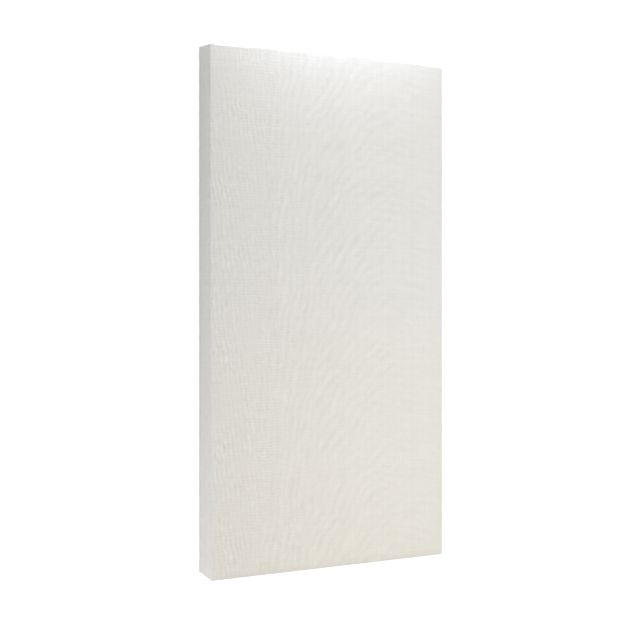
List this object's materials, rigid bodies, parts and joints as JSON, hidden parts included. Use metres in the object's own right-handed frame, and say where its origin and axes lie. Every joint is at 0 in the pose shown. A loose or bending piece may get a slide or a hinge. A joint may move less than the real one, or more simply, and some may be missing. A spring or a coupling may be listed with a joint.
{
  "type": "fabric acoustic wall panel",
  "caption": "Rectangular sound-absorbing wall panel: timber frame, mineral wool core, backing cloth and a wrapped off-white fabric cover with a mitred back hem.",
  "frame": {"origin": "middle of the back face, at the hem's outer face", "axes": "+Z out of the front face, +Y towards the top edge as hung, +X towards the right edge seen from the front"},
  "size_m": [0.6096, 1.2192, 0.0889],
  "materials": {
    "cover_cloth": "matte",
    "backing_cloth": "matte",
    "frame_timber": "matte",
    "mineral_wool": "matte",
    "staple_wire": "satin"
  },
  "bodies": {
    "root": {"fabric_cover": "cover_cloth", "backing_cloth": "backing_cloth", "wool_core": "mineral_wool", "left_rail": "frame_timber", "right_rail": "frame_timber", "top_rail": "frame_timber", "bottom_rail": "frame_timber"}
  },
  "joints": []
}
